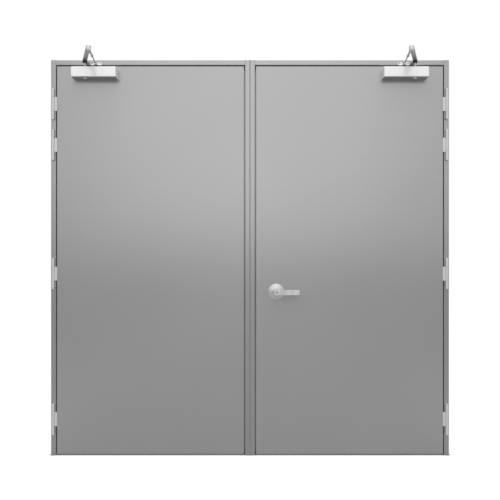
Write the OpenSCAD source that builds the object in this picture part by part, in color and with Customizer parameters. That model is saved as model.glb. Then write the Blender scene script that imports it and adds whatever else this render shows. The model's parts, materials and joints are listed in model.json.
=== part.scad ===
// Double-leaf steel fire door in a pressed steel frame with a centre mullion.
// X runs to the right, Y runs into the wall, Z runs up. The viewer on the pull side looks along +Y.
// The origin lies on the floor, under the middle of the mullion and of the frame's depth.

/* [Leaves] */
// Width of one leaf
leaf_w = 1020; // [700:5:1200]
// Height of one leaf
leaf_h = 2112; // [2050:1:2400]
// Thickness of a leaf
leaf_t = 45; // [40:0.5:60]
// Thickness of the skin sheet
skin_t = 1.2; // [0.8:0.1:2]
// Bend radius on the outside of a skin's folded edges
skin_bend_r = 2; // [1:0.1:3]
// Distance by which the latch edge is bevelled across the leaf
latch_bevel = 3; // [2:0.5:5]
// Width of the seam between the two skins
skin_seam = 0.4; // [0.2:0.1:1]
// Height of the channels that close the top and bottom of a leaf
channel_h = 25; // [18:1:40]
// Sheet thickness of those channels
channel_t = 1.5; // [1:0.1:2.5]

/* [Gaps] */
// Gap between a leaf and the jamb or the mullion
side_gap = 5; // [4:0.5:8]
// Gap between a leaf and the header
top_gap = 7; // [5:0.5:10]
// Gap between a leaf and the floor
floor_gap = 6; // [4:0.5:15]

/* [Frame] */
// Width of the frame's face
face_w = 27.5; // [24:0.5:60]
// Depth of the frame through the wall
frame_depth = 146; // [120:1:300]
// Clearance between a closed leaf and the stop
stop_gap = 5; // [4:0.5:8]
// Height of the stop
stop_h = 16; // [12:0.5:25]
// Thickness of the frame sheet
frame_t = 2; // [1.2:0.1:3]
// Inner bend radius of the frame sheet
frame_bend_r = 1; // [0.5:0.1:2]
// Length of the returns that lap the wall
return_w = 12; // [8:0.5:20]

/* [Anchors] */
// Diameter of the wall anchor holes
wall_hole_d = 10; // [6:0.5:14]
// Height of the lowest wall anchor
wall_hole_z = 300; // [150:10:400]
// Spacing of the wall anchors
wall_hole_pitch = 500; // [300:10:550]
// Distance of the wall anchors from the back of the frame
wall_hole_back = 48; // [30:1:60]
// Thickness of the mullion's foot plate
foot_t = 6; // [4:0.5:12]
// Diameter of the floor anchor holes
floor_hole_d = 11; // [8:0.5:14]
// Spacing of the floor anchor holes
floor_hole_pitch = 80; // [50:1:90]

/* [Hinges] */
// Diameter of the hinge barrel
barrel_d = 14; // [12:0.5:18]
// Distance of the hinge axis in front of the frame's face
axis_out = 9; // [8:0.1:14]
// Distance of the hinge axis from the leaf's edge
axis_side = 17.8; // [15:0.1:24]
// Diameter of the hinge pin
hinge_pin_d = 8; // [6:0.1:9]
// Clearance round a pin or spindle
pin_play = 0.05; // [0.02:0.01:0.1]
// Height of the middle knuckle and of the door flap
flap_h = 76; // [60:1:100]
// Height of each outer knuckle
outer_knuckle_h = 44; // [30:1:60]
// Gap between two knuckles
knuckle_gap = 0.5; // [0.3:0.1:1]
// Height of the pin's domed end caps
hinge_cap_h = 3; // [2:0.5:6]
// Height of those caps at their rim
hinge_cap_rim = 0.8; // [0.4:0.1:1.5]
// Thickness of the door flap
flap_t = 3; // [2.5:0.1:4]
// Depth of the flap's leg in the leaf's edge
flap_leg = 34; // [25:0.5:38]
// Clearance round the flap in its mortise
mortise_play = 0.3; // [0.1:0.05:1]
// Width of the weld saddle behind an outer knuckle
saddle_w = 10; // [8:0.5:12]
// Height of the lowest hinge's middle
hinge_low_z = 197; // [150:1:300]
// Height of the second hinge's middle
hinge_mid_z = 989; // [700:1:1200]
// Distance of the highest hinge's middle below the leaf's top
hinge_top_drop = 206; // [150:1:260]
// Distance between the two highest hinges
hinge_pair_pitch = 222; // [190:1:300]

/* [Closers] */
// Length of a closer's body
closer_l = 240; // [200:1:280]
// Height of a closer's body
closer_h = 55; // [45:1:65]
// Depth of a closer's body
closer_d = 58; // [48:1:70]
// Chamfer on the closer body's front edges
closer_chamfer = 3; // [1:0.5:6]
// Distance of the closer's body below the leaf's top
closer_drop = 17; // [12:1:40]
// Distance of the closer's body from the leaf's hinge edge
closer_edge = 93.6; // [80:0.1:150]
// Distance of the spindle from the body's end
spindle_end = 67.6; // [50:0.1:90]
// Distance of the spindle in front of the leaf's face
spindle_out = 29; // [24:0.5:34]
// Diameter of the spindle
spindle_d = 14; // [10:0.5:18]
// Diameter of the cap below the spindle
spindle_cap_d = 20; // [16:0.5:26]
// Height of that cap
spindle_cap_h = 6; // [3:0.5:10]
// Diameter of the bearing boss on the closer's body
boss_d = 28; // [22:0.5:34]
// Height of the bearing boss
boss_h = 4; // [2:0.5:6]
// Depth of the blind end of the spindle's bore above the body's underside
spindle_floor = 6; // [4:0.5:12]

/* [Closer arms] */
// Length of the main arm between its pivots
main_arm_l = 226; // [215:1:240]
// Length of the forearm between its pivots
forearm_l = 222; // [205:1:235]
// Distance of the arms' lowest piece above the leaf's top
arm_clear = 6; // [5.5:0.5:9]
// Width of the main arm
main_arm_w = 22; // [16:0.5:24]
// Thickness of the main arm
main_arm_t = 8; // [6:0.5:10]
// Thickness of the main arm where it runs into the elbow
main_arm_tip_t = 4.5; // [3:0.5:6]
// Length over which the main arm thins out towards the elbow
main_arm_taper_l = 30; // [15:1:60]
// Diameter of the main arm's hub
hub_d = 25; // [22:0.5:30]
// Height of the hub below the arm
hub_h = 12; // [8:0.5:14]
// Diameter of the elbow knuckle
elbow_d = 26; // [22:0.5:30]
// Height of the elbow knuckle on the forearm
elbow_h = 15.5; // [12:0.5:18]
// Gap between the elbow knuckle and the main arm
elbow_gap = 0.5; // [0.3:0.1:1]
// Height of the elbow's dome above the main arm
elbow_dome_h = 2; // [1:0.5:3]
// Height of that dome's rim
elbow_rim = 1; // [0.5:0.5:4]
// Diameter of the forearm where it leaves the elbow
forearm_root_d = 14; // [12:0.5:15]
// Diameter of the forearm's thick half at the lock nut
forearm_tube_d = 10; // [8:0.5:12]
// Diameter of the forearm's thin half
forearm_rod_d = 7; // [5:0.5:8]
// Length of the forearm's thick half, from the elbow
forearm_tube_l = 105; // [70:1:140]
// Width across the flats of the lock nut
lock_nut_w = 13; // [12:0.5:14]
// Length of the lock nut
lock_nut_l = 7; // [5:0.5:10]
// Diameter of the eye at the forearm's shoe end
eye_d = 14; // [12:0.5:20]
// Thickness of that eye
eye_t = 8; // [6:0.5:9]

/* [Shoes] */
// Distance of the shoe's pivot from the leaf's hinge edge
shoe_edge = 215.4; // [200:0.1:240]
// Distance of the shoe's pivot in front of the frame's face
shoe_out = 20; // [16:0.5:26]
// Diameter of the shoe's pivot pin
shoe_pin_d = 6; // [5:0.5:8]
// Width of the shoe's base
shoe_w = 64; // [50:1:80]
// Thickness of the shoe's base
shoe_t = 4; // [3:0.5:6]
// Height of the shoe's base, which ends in half circles
shoe_h = 16; // [16:0.5:24]
// Distance of the shoe's lowest edge above the leaf's top
shoe_clear = 5.2; // [5:0.1:8]
// Thickness of each lug
lug_t = 3.5; // [3:0.1:5]
// Gap between a lug and the forearm's eye
lug_gap = 0.3; // [0.2:0.1:1]
// Diameter of the lugs round the pivot
lug_d = 16; // [14:0.5:22]

/* [Lock] */
// Height of the lever's axis above the floor
lever_z = 890; // [800:5:1100]
// Distance of the lever's axis from the latch edge
backset = 110; // [60:1:130]
// Diameter of the roses
rose_d = 89; // [60:1:95]
// Thickness of the roses
rose_t = 9; // [6:0.5:12]
// Thickness of a rose at its rim
rose_rim_t = 4; // [2:0.5:5]
// Diameter of the lever's neck
neck_d = 24; // [18:0.5:30]
// Clearance round the neck in the leaf
neck_play = 1; // [0.5:0.5:3]
// Distance by which the lever's front stands out from the leaf
lever_out = 65; // [55:1:75]
// Distance by which the hub's front stands out from the leaf
lever_hub_out = 52; // [40:1:54]
// Diameter of the lever's hub
lever_hub_d = 30; // [26:0.5:36]
// Distance from the axis to the tip of the lever
lever_l = 123; // [100:1:140]
// Height of the lever's bar
lever_h = 27; // [18:0.5:30]
// Thickness of the lever's bar
lever_t = 11; // [8:0.5:14]
// Distance from the axis to where the bar runs flat
lever_bend_l = 62; // [50:1:80]
// Chamfer at the tip of the lever
lever_tip = 2; // [1:0.5:4]
// Diameter of the key cylinder
key_d = 13; // [10:0.5:16]
// Distance by which the key cylinder stands out from the hub
key_out = 1.5; // [0.5:0.5:3]
// Width of the latch plate
latch_plate_w = 25; // [20:0.5:28]
// Height of the latch plate
latch_plate_h = 57; // [50:1:70]
// Thickness of the latch plate
latch_plate_t = 2; // [1.5:0.1:3]
// Width of the latch bolt
latch_bolt_w = 12; // [10:0.5:14]
// Height of the latch bolt
latch_bolt_h = 16; // [12:0.5:20]
// Width of the groove round the latch bolt, both sides together
latch_groove = 1; // [0.5:0.5:2]
// Width of the strike plate
strike_w = 32; // [28:0.5:36]
// Height of the strike plate
strike_h = 124; // [100:1:140]
// Clearance round the latch bolt in the strike plate
bolt_play = 1; // [0.5:0.5:2]
// Clearance round the latch plate and the strike plate
plate_play = 0.2; // [0.1:0.05:0.5]

/* [Bottom seals] */
// Width of a bottom seal
seal_w = 19; // [12:0.5:24]
// Distance of the seal above the floor
seal_floor = 1.5; // [1:0.1:3]
// Distance of the seal's ends from the leaf's edges
seal_inset = 3; // [2:0.5:20]

/* [Hidden] */
round_fn = 64;
lip_fn = 32;
rose_fn = 360;
bend_steps = 6;
eps = 0.01;
leaf_in_x = face_w + side_gap;
leaf_out_x = leaf_in_x + leaf_w;
jamb_in_x = leaf_out_x + side_gap;
jamb_out_x = jamb_in_x + face_w;
leaf_low_z = floor_gap;
leaf_top_z = leaf_low_z + leaf_h;
head_low_z = leaf_top_z + top_gap;
head_top_z = head_low_z + face_w;
face_y = -frame_depth / 2;
back_y = frame_depth / 2;
leaf_back_y = face_y + leaf_t;
leaf_mid_y = face_y + leaf_t / 2;
rebate_d = leaf_t + stop_gap;
hinge_x = leaf_out_x + axis_side;
hinge_y = face_y - axis_out;
hinge_top_z = leaf_top_z - hinge_top_drop;
hinge_zs = [hinge_low_z, hinge_mid_z, hinge_top_z - hinge_pair_pitch, hinge_top_z];
barrel_h = flap_h + 2 * (knuckle_gap + outer_knuckle_h);
spindle_x = leaf_out_x - closer_edge - spindle_end;
spindle_y = face_y - spindle_out;
closer_out_x = leaf_out_x - closer_edge;
closer_top_z = leaf_top_z - closer_drop;
closer_low_z = closer_top_z - closer_h;
shoe_x = leaf_out_x - shoe_edge;
shoe_y = face_y - shoe_out;
arm_low_z = leaf_top_z + arm_clear;
main_arm_z = arm_low_z + elbow_h + elbow_gap;
shoe_low_z = leaf_top_z + shoe_clear;
eye_low_z = shoe_low_z + lug_t + lug_gap;
forearm_z = eye_low_z + eye_t / 2;
pivot_span = norm([shoe_x - spindle_x, shoe_y - spindle_y]);
elbow_along = (main_arm_l ^ 2 - forearm_l ^ 2 + pivot_span ^ 2) / (2 * pivot_span);
elbow_off = sqrt(main_arm_l ^ 2 - elbow_along ^ 2);
span_dir = [shoe_x - spindle_x, shoe_y - spindle_y] / pivot_span;
elbow_x = spindle_x + elbow_along * span_dir[0] - elbow_off * span_dir[1];
elbow_y = spindle_y + elbow_along * span_dir[1] + elbow_off * span_dir[0];
main_arm_angle = atan2(elbow_y - spindle_y, elbow_x - spindle_x);
forearm_angle = atan2(elbow_y - shoe_y, elbow_x - shoe_x);
lever_x = leaf_in_x + backset;

// Left pieces are drawn in their place, with X negative, and right ones are their mirror image.

// Places a piece of the right side as it is, and one of the left side as its mirror image.
module side(s) {
    if (s > 0) children();
    else mirror([1, 0, 0]) children();
}

// A strip of sheet between two points, in a plane.
module strip(p, q, t) {
    translate([min(p[0], q[0]) - (p[0] == q[0] ? t / 2 : 0), min(p[1], q[1]) - (p[1] == q[1] ? t / 2 : 0)])
        square([abs(p[0] - q[0]) + (p[0] == q[0] ? t : 0), abs(p[1] - q[1]) + (p[1] == q[1] ? t : 0)]);
}

// A quarter of a bend in the sheet. The quadrant lies on the sides given by qx and qy.
module bend(centre, qx, qy, r, t) {
    translate(centre) intersection() {
        difference() {
            circle(r = r + t, $fn = lip_fn);
            circle(r = r, $fn = lip_fn);
        }
        translate([qx > 0 ? 0 : -r - t, qy > 0 ? 0 : -r - t]) square(r + t);
    }
}

// A round disc whose top is a shallow dome above a straight rim. Fn is the sphere's number of facets.
module domed(d, h, rim, fn) {
    crown = h - rim;
    r = ((d / 2) ^ 2 + crown ^ 2) / (2 * crown);
    intersection() {
        cylinder(h = h, d = d, $fn = round_fn);
        translate([0, 0, h - r]) sphere(r = r, $fn = fn);
    }
}

// The frame's section. U runs from the wall edge towards the opening, V from the face to the back.
module frame_section() {
    t = frame_t;
    r = frame_bend_r;
    b = r + t;
    rebate_v = rebate_d;
    soffit_u = face_w + stop_h;
    strip([t / 2, b], [t / 2, return_w], t);
    bend([b, b], -1, -1, r, t);
    strip([b, t / 2], [face_w - b, t / 2], t);
    bend([face_w - b, b], 1, -1, r, t);
    strip([face_w - t / 2, b], [face_w - t / 2, rebate_v - r], t);
    bend([face_w + r, rebate_v - r], -1, 1, r, t);
    strip([face_w + r, rebate_v + t / 2], [soffit_u - b, rebate_v + t / 2], t);
    bend([soffit_u - b, rebate_v + b], 1, -1, r, t);
    strip([soffit_u - t / 2, rebate_v + b], [soffit_u - t / 2, frame_depth - b], t);
    bend([soffit_u - b, frame_depth - b], 1, 1, r, t);
    strip([b, frame_depth - t / 2], [soffit_u - b, frame_depth - t / 2], t);
    bend([b, frame_depth - b], -1, 1, r, t);
    strip([t / 2, frame_depth - return_w], [t / 2, frame_depth - b], t);
}

// An upright of the frame on the right side, from the floor to the header's top.
module upright(wall_x, towards) {
    translate([wall_x, face_y, 0])
        mirror([towards < 0 ? 1 : 0, 0, 0])
            linear_extrude(head_top_z) frame_section();
}

module jamb(s) {
    color("gainsboro") side(s) difference() {
        upright(jamb_out_x, -1);
        for (i = [0:3])
            translate([jamb_in_x - stop_h - eps, back_y - wall_hole_back, wall_hole_z + i * wall_hole_pitch])
                rotate([0, 90, 0]) cylinder(h = 2 * frame_t, d = wall_hole_d, $fn = lip_fn);
    }
}

module mullion_half(s) {
    color("gainsboro") side(s) difference() {
        upright(0, 1);
        if (s > 0) strike_space(plate_play);
    }
}

// The window in the mullion's rebate, or the plate that fills it.
module strike_space(play) {
    translate([face_w - frame_t - play, leaf_mid_y - strike_w / 2 - play, lever_z - strike_h / 2 - play])
        cube([frame_t + 2 * play, strike_w + 2 * play, strike_h + 2 * play]);
}

module header(s) {
    color("gainsboro") side(s) difference() {
        translate([face_w, face_y, head_top_z])
            rotate([0, 90, 0]) linear_extrude(jamb_in_x - face_w) frame_section();
        for (cut = [[stop_h, 0], [frame_bend_r, frame_bend_r]])
            for (x = [face_w - eps, jamb_in_x - cut[0]])
                translate([x, face_y + rebate_d - cut[1], head_low_z - stop_h - eps])
                    cube([cut[0] + eps, frame_depth, face_w + stop_h + 1]);
    }
}

module mullion_foot() {
    half_w = face_w - frame_t - mortise_play;
    half_d = frame_depth / 2 - return_w - mortise_play;
    color("gray") difference() {
        translate([-half_w, -half_d, 0]) cube([2 * half_w, 2 * half_d, foot_t]);
        for (s = [-1, 1])
            translate([0, s * floor_hole_pitch / 2, -1])
                cylinder(h = foot_t + 2, d = floor_hole_d, $fn = lip_fn);
    }
}

module strike_plate() {
    color("silver") difference() {
        strike_space(0);
        translate([face_w - frame_t / 2, leaf_mid_y, lever_z])
            cube([2 * frame_t, latch_bolt_w + 2 * bolt_play, latch_bolt_h + 2 * bolt_play], center = true);
    }
}

// The right leaf's four corners seen from above, drawn in by the given depth.
leaf_skew = latch_bevel / leaf_t;
function leaf_corners(inset) = let(side_in = inset * norm([1, leaf_skew])) [
    [leaf_in_x + side_in + inset * leaf_skew, face_y + inset],
    [leaf_out_x - inset, face_y + inset],
    [leaf_out_x - inset, leaf_back_y - inset],
    [leaf_in_x + latch_bevel + side_in - inset * leaf_skew, leaf_back_y - inset]
];

// Points on an arc about a centre, between two angles.
function arc(centre, r, from, to) =
    [for (i = [0:bend_steps]) let(a = from + (to - from) * i / bend_steps) centre + r * [cos(a), sin(a)]];

module leaf_outline(inset) {
    polygon(leaf_corners(inset));
}

// The same outline with its corners bent round.
module leaf_round_outline() {
    c = leaf_corners(skin_bend_r);
    latch_normal = 180 - atan(leaf_skew);
    polygon(concat(
        arc(c[0], skin_bend_r, latch_normal, 270), arc(c[1], skin_bend_r, 270, 360),
        arc(c[2], skin_bend_r, 0, 90), arc(c[3], skin_bend_r, 90, latch_normal)
    ));
}

// The mortises for the hinge flaps, in the right leaf's hinge edge.
module flap_mortises(play) {
    for (z = hinge_zs)
        translate([leaf_out_x - flap_t, face_y - 1, z - flap_h / 2 - play])
            cube([flap_t + 1, flap_leg + 1 + play, flap_h + 2 * play]);
}

// The recess for the latch plate, in the right leaf's latch edge.
module latch_recess(play) {
    translate([leaf_in_x + latch_bevel / 2, leaf_mid_y, lever_z])
        rotate([0, 0, -atan(leaf_skew)])
            translate([-1, -latch_plate_w / 2 - play, -latch_plate_h / 2 - play])
                cube([latch_plate_t + 1, latch_plate_w + 2 * play, latch_plate_h + 2 * play]);
}

// The hole through the right leaf for the lever's neck.
module neck_hole() {
    translate([lever_x, face_y - 1, lever_z])
        rotate([-90, 0, 0]) cylinder(h = leaf_t + 2, d = neck_d + 2 * neck_play, $fn = round_fn);
}

module skin(s, pull) {
    low_y = pull ? face_y - 1 : leaf_mid_y + skin_seam / 2;
    high_y = pull ? leaf_mid_y - skin_seam / 2 : leaf_back_y + 1;
    color("lightgray") side(s) difference() {
        translate([0, 0, leaf_low_z]) linear_extrude(leaf_h) intersection() {
            difference() {
                leaf_round_outline();
                leaf_outline(skin_t);
            }
            translate([0, low_y]) square([2 * leaf_out_x, high_y - low_y]);
        }
        flap_mortises(mortise_play);
        if (s > 0) {
            latch_recess(plate_play);
            neck_hole();
        }
    }
}

module leaf_core(s) {
    color("tan") side(s) difference() {
        translate([0, 0, leaf_low_z + channel_h])
            linear_extrude(leaf_h - 2 * channel_h) leaf_outline(skin_t);
        flap_mortises(mortise_play);
        if (s > 0) {
            latch_recess(plate_play);
            neck_hole();
        }
    }
}

// One channel of folded sheet, open below, with its back at the given height.
module channel(back_z) {
    difference() {
        translate([0, 0, back_z - channel_h]) linear_extrude(channel_h) leaf_outline(skin_t);
        translate([0, 0, back_z - channel_h - 1])
            linear_extrude(channel_h + 1 - channel_t) leaf_outline(skin_t + channel_t);
    }
}

module leaf_channels(s) {
    color("darkgray") side(s) {
        channel(leaf_top_z);
        channel(leaf_low_z + channel_h);
    }
}

module bottom_seal(s) {
    top_z = leaf_low_z + channel_h - channel_t;
    color("black") side(s)
        translate([leaf_in_x + latch_bevel + seal_inset, leaf_mid_y - seal_w / 2, seal_floor])
            cube([leaf_w - latch_bevel - 2 * seal_inset, seal_w, top_z - seal_floor]);
}

// The outer knuckles with the pin and its caps, and the saddles that carry them on the jamb.
module hinge_knuckles(s, i) {
    saddle_d = axis_out - barrel_d / 4;
    color("lightgray") side(s) translate([hinge_x, hinge_y, hinge_zs[i]]) {
        cylinder(h = barrel_h, d = hinge_pin_d, center = true, $fn = lip_fn);
        for (up = [0, 1]) mirror([0, 0, up]) {
            translate([0, 0, barrel_h / 2 - outer_knuckle_h]) {
                cylinder(h = outer_knuckle_h, d = barrel_d, $fn = round_fn);
                translate([-saddle_w / 2, axis_out - saddle_d, 0]) cube([saddle_w, saddle_d, outer_knuckle_h]);
            }
            translate([0, 0, barrel_h / 2]) domed(barrel_d, hinge_cap_h, hinge_cap_rim, round_fn);
        }
    }
}

// The middle knuckle and the flap that bends round into the leaf's edge.
module hinge_flap(s, i) {
    leg_x = leaf_out_x - flap_t;
    flap_y = hinge_y + barrel_d / 2 - flap_t;
    color("lightgray") side(s) translate([0, 0, hinge_zs[i]]) difference() {
        union() {
            translate([hinge_x, hinge_y, 0]) cylinder(h = flap_h, d = barrel_d, center = true, $fn = round_fn);
            translate([leg_x + flap_t, flap_y, -flap_h / 2])
                cube([hinge_x - leg_x - flap_t, flap_t, flap_h]);
            translate([leg_x + flap_t, flap_y + flap_t, -flap_h / 2]) intersection() {
                cylinder(h = flap_h, r = flap_t, $fn = lip_fn);
                translate([-flap_t, -flap_t, 0]) cube([flap_t, flap_t, flap_h]);
            }
            translate([leg_x, flap_y + flap_t, -flap_h / 2])
                cube([flap_t, face_y + flap_leg - flap_y - flap_t, flap_h]);
        }
        translate([hinge_x, hinge_y, 0])
            cylinder(h = flap_h + 2, r = hinge_pin_d / 2 + pin_play, center = true, $fn = lip_fn);
    }
}

module closer_body(s) {
    c = closer_chamfer;
    in_x = closer_out_x - closer_l;
    color("whitesmoke") side(s) difference() {
        union() {
            intersection() {
                translate([0, 0, closer_low_z]) linear_extrude(closer_h) polygon([
                    [in_x, face_y], [in_x, face_y - closer_d + c], [in_x + c, face_y - closer_d],
                    [closer_out_x - c, face_y - closer_d], [closer_out_x, face_y - closer_d + c],
                    [closer_out_x, face_y]
                ]);
                translate([closer_out_x, 0, 0]) rotate([90, 0, -90]) linear_extrude(closer_l) polygon([
                    [-face_y, closer_low_z], [-face_y + closer_d - c, closer_low_z],
                    [-face_y + closer_d, closer_low_z + c], [-face_y + closer_d, closer_top_z - c],
                    [-face_y + closer_d - c, closer_top_z], [-face_y, closer_top_z]
                ]);
            }
            translate([spindle_x, spindle_y, closer_top_z - 1])
                cylinder(h = boss_h + 1, d = boss_d, $fn = round_fn);
            translate([spindle_x, spindle_y, closer_low_z - spindle_cap_h])
                cylinder(h = spindle_cap_h + 1, d = spindle_cap_d, $fn = round_fn);
        }
        translate([spindle_x, spindle_y, closer_low_z + spindle_floor])
            cylinder(h = closer_h + boss_h, r = spindle_d / 2 + pin_play, $fn = round_fn);
    }
}

module closer_spindle(s) {
    low_z = closer_low_z + spindle_floor + lug_gap;
    color("dimgray") side(s) translate([spindle_x, spindle_y, low_z])
        cylinder(h = main_arm_z - hub_h - low_z, d = spindle_d, $fn = round_fn);
}

module main_arm(s) {
    color("silver") side(s) {
        translate([spindle_x, spindle_y, main_arm_z]) {
            rotate([90, 0, main_arm_angle]) linear_extrude(main_arm_w, center = true) polygon([
                [0, 0], [main_arm_l, 0], [main_arm_l, main_arm_tip_t],
                [main_arm_l - main_arm_taper_l, main_arm_t], [0, main_arm_t]
            ]);
            translate([0, 0, -hub_h]) cylinder(h = hub_h + main_arm_t, d = hub_d, $fn = round_fn);
        }
        translate([elbow_x, elbow_y, main_arm_z])
            domed(elbow_d, main_arm_t + elbow_dome_h, elbow_rim, round_fn);
    }
}

module forearm(s) {
    color("silver") side(s) difference() {
        union() {
            translate([elbow_x, elbow_y, arm_low_z]) cylinder(h = elbow_h, d = elbow_d, $fn = round_fn);
            translate([shoe_x, shoe_y, eye_low_z]) cylinder(h = eye_t, d = eye_d, $fn = round_fn);
            translate([shoe_x, shoe_y, forearm_z]) rotate([0, 90, forearm_angle]) {
                cylinder(h = forearm_l, d = forearm_rod_d, $fn = lip_fn);
                translate([0, 0, forearm_l - forearm_tube_l])
                    cylinder(h = forearm_tube_l, d1 = forearm_tube_d, d2 = forearm_root_d, $fn = lip_fn);
                translate([0, 0, forearm_l - forearm_tube_l - lock_nut_l])
                    cylinder(h = lock_nut_l, d = lock_nut_w / cos(30), $fn = 6);
            }
        }
        translate([shoe_x, shoe_y, eye_low_z - 1])
            cylinder(h = eye_t + 2, r = shoe_pin_d / 2 + pin_play, $fn = lip_fn);
    }
}

module closer_shoe(s) {
    upper_z = eye_low_z + eye_t + lug_gap;
    color("silver") side(s) {
        translate([shoe_x, face_y, shoe_low_z + shoe_h / 2]) rotate([90, 0, 0]) linear_extrude(shoe_t) {
            square([shoe_w - shoe_h, shoe_h], center = true);
            for (end = [-1, 1]) translate([end * (shoe_w - shoe_h) / 2, 0]) circle(d = shoe_h, $fn = lip_fn);
        }
        for (z = [shoe_low_z, upper_z]) {
            translate([shoe_x - lug_d / 2, shoe_y, z]) cube([lug_d, shoe_out, lug_t]);
            translate([shoe_x, shoe_y, z]) cylinder(h = lug_t, d = lug_d, $fn = round_fn);
        }
        translate([shoe_x, shoe_y, shoe_low_z])
            cylinder(h = upper_z - shoe_low_z + lug_t, d = shoe_pin_d, $fn = lip_fn);
    }
}

// A piece of the lock on the outside, or the same piece turned to the inside.
module lock_side(outside) {
    if (outside) translate([lever_x, face_y, lever_z]) children();
    else translate([lever_x, leaf_back_y, lever_z]) mirror([0, 1, 0]) children();
}

// A round plate with a shallow dome.
module rose(outside) {
    color("silver") lock_side(outside) rotate([90, 0, 0]) difference() {
        domed(rose_d, rose_t, rose_rim_t, rose_fn);
        translate([0, 0, -1]) cylinder(h = rose_t + 2, r = neck_d / 2 + pin_play, $fn = round_fn);
    }
}

// The lever's bar seen from above. It runs straight across the hub, and its bend is eased.
function ease(u) = u * u * (3 - 2 * u);
lever_steps = 12;
lever_flat_l = key_d / 2 + 1;
lever_rise = lever_out - lever_hub_out;
lever_line = concat([[0, -lever_hub_out]], [for (i = [0:lever_steps])
    [lever_flat_l + (lever_bend_l - lever_flat_l) * i / lever_steps,
     -lever_hub_out - lever_rise * ease(i / lever_steps)]]);

module lever(outside) {
    back_line = [for (i = [lever_steps + 1:-1:0]) lever_line[i] + [0, lever_t]];
    color("silver") lock_side(outside) {
        translate([0, 0, -lever_h / 2]) linear_extrude(lever_h) polygon(concat(
            lever_line,
            [[lever_l - lever_tip, -lever_out], [lever_l, -lever_out + lever_tip],
             [lever_l, -lever_out + lever_t - lever_tip], [lever_l - lever_tip, -lever_out + lever_t]],
            back_line
        ));
        rotate([90, 0, 0]) {
            translate([0, 0, rose_t + knuckle_gap])
                cylinder(h = lever_hub_out - rose_t - knuckle_gap, d = lever_hub_d, $fn = round_fn);
            translate([0, 0, -leaf_t / 2 + (outside ? 0 : knuckle_gap)])
                cylinder(h = leaf_t / 2 + rose_t + 1, d = neck_d, $fn = round_fn);
        }
    }
}

module key_cylinder() {
    color("dimgray") lock_side(true) rotate([90, 0, 0])
        translate([0, 0, lever_hub_out]) cylinder(h = key_out, d = key_d, $fn = lip_fn);
}

// The plate in the leaf's edge, with the end of the drawn-back bolt in its middle.
module latch_plate() {
    color("silver") difference() {
        intersection() {
            latch_recess(0);
            translate([0, 0, lever_z - latch_plate_h])
                linear_extrude(2 * latch_plate_h) leaf_outline(0);
        }
        translate([leaf_in_x + latch_bevel / 2, leaf_mid_y, lever_z])
            rotate([0, 0, -atan(leaf_skew)]) difference() {
                cube([latch_plate_t, latch_bolt_w + latch_groove, latch_bolt_h + latch_groove], center = true);
                cube([latch_plate_t + 1, latch_bolt_w, latch_bolt_h], center = true);
            }
    }
}

jamb(-1);  // left_jamb
jamb(1);  // right_jamb
mullion_half(-1);  // left_mullion_half
mullion_half(1);  // right_mullion_half
header(-1);  // left_header
header(1);  // right_header
mullion_foot();
strike_plate();
leaf_core(-1);  // left_leaf_core
skin(-1, true);  // left_pull_skin
skin(-1, false);  // left_push_skin
leaf_channels(-1);  // left_leaf_channels
bottom_seal(-1);  // left_bottom_seal
leaf_core(1);  // right_leaf_core
skin(1, true);  // right_pull_skin
skin(1, false);  // right_push_skin
leaf_channels(1);  // right_leaf_channels
bottom_seal(1);  // right_bottom_seal
for (i = [0:3]) {
    hinge_knuckles(-1, i);
    hinge_flap(-1, i);
    hinge_knuckles(1, i);
    hinge_flap(1, i);
}
closer_body(-1);  // left_closer_body
closer_spindle(-1);  // left_closer_spindle
main_arm(-1);  // left_main_arm
forearm(-1);  // left_forearm
closer_shoe(-1);  // left_closer_shoe
closer_body(1);  // right_closer_body
closer_spindle(1);  // right_closer_spindle
main_arm(1);  // right_main_arm
forearm(1);  // right_forearm
closer_shoe(1);  // right_closer_shoe
rose(true);  // outside_rose
rose(false);  // inside_rose
lever(true);  // outside_lever
lever(false);  // inside_lever
key_cylinder();
latch_plate();
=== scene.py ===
"""Looks of a double-leaf steel fire door: finishes, small fasteners, light and camera.

Metres throughout. X runs to the right, Y into the wall, Z up, with the floor at Z = 0.
"""

import json
import math

import bmesh
import bpy
from mathutils import Matrix, Vector


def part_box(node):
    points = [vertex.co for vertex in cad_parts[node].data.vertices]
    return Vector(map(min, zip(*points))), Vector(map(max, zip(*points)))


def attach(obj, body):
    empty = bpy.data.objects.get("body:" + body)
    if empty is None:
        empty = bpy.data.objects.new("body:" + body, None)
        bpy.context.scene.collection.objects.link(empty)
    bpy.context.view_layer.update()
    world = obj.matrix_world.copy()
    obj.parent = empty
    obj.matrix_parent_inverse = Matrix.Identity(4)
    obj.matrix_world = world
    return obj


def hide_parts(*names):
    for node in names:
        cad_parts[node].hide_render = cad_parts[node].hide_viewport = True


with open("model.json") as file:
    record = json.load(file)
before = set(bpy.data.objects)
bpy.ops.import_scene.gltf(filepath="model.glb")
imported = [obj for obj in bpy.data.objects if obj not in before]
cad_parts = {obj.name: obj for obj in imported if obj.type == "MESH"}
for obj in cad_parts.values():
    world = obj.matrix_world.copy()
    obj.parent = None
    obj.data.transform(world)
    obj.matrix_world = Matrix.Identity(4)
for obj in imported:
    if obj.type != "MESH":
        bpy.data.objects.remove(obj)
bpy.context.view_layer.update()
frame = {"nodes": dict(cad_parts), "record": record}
nodes = frame["nodes"]
scene = bpy.context.scene
MM = 0.001
SIDES = (("left", -1), ("right", 1))
ELBOW_RADIUS = 13 * MM

# Camera
EYE_HEIGHT = 1.1176
EYE_DISTANCE = 3.10
LENS_MM = 40.95
SENSOR_MM = 36.0

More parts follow.
